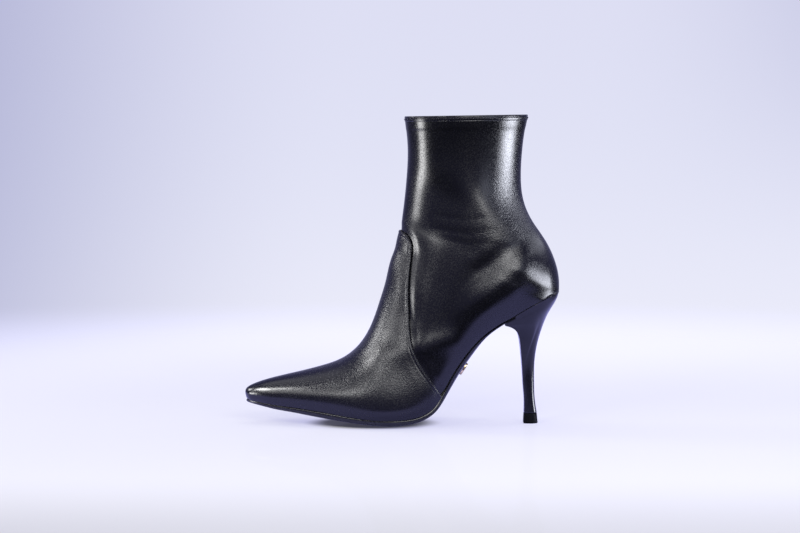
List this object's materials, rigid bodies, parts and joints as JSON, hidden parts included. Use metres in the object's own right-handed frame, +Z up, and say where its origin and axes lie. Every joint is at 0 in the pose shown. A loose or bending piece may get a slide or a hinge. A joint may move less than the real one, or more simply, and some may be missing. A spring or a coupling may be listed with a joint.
{
  "type": "stiletto ankle boot",
  "caption": "Pointed ankle boot for the left foot in black smooth leather on a slim high heel, hollow and open at the collar, standing on its sole and heel tip.",
  "frame": {"origin": "on the floor, under the middle of the boot's box", "axes": "+X from the toe towards the heel, +Y towards the inner side of the foot, +Z up"},
  "size_m": [0.2248, 0.0795, 0.2209],
  "materials": {
    "black_leather": "smooth black calf leather with a fine grain and a soft gloss",
    "sole_leather": "black sole leather with a polished edge",
    "lining_leather": "dark matt lining leather",
    "heel_leather": "black leather stretched tight over the heel block",
    "tip_rubber": "hard black rubber",
    "pale_brass": "polished pale brass"
  },
  "bodies": {
    "root": {"upper": "black_leather", "vamp": "black_leather", "collar_bead": "black_leather", "outsole": "sole_leather", "insole": "lining_leather", "heel": "heel_leather", "top_piece": "tip_rubber", "waist_plate": "pale_brass"}
  },
  "joints": []
}
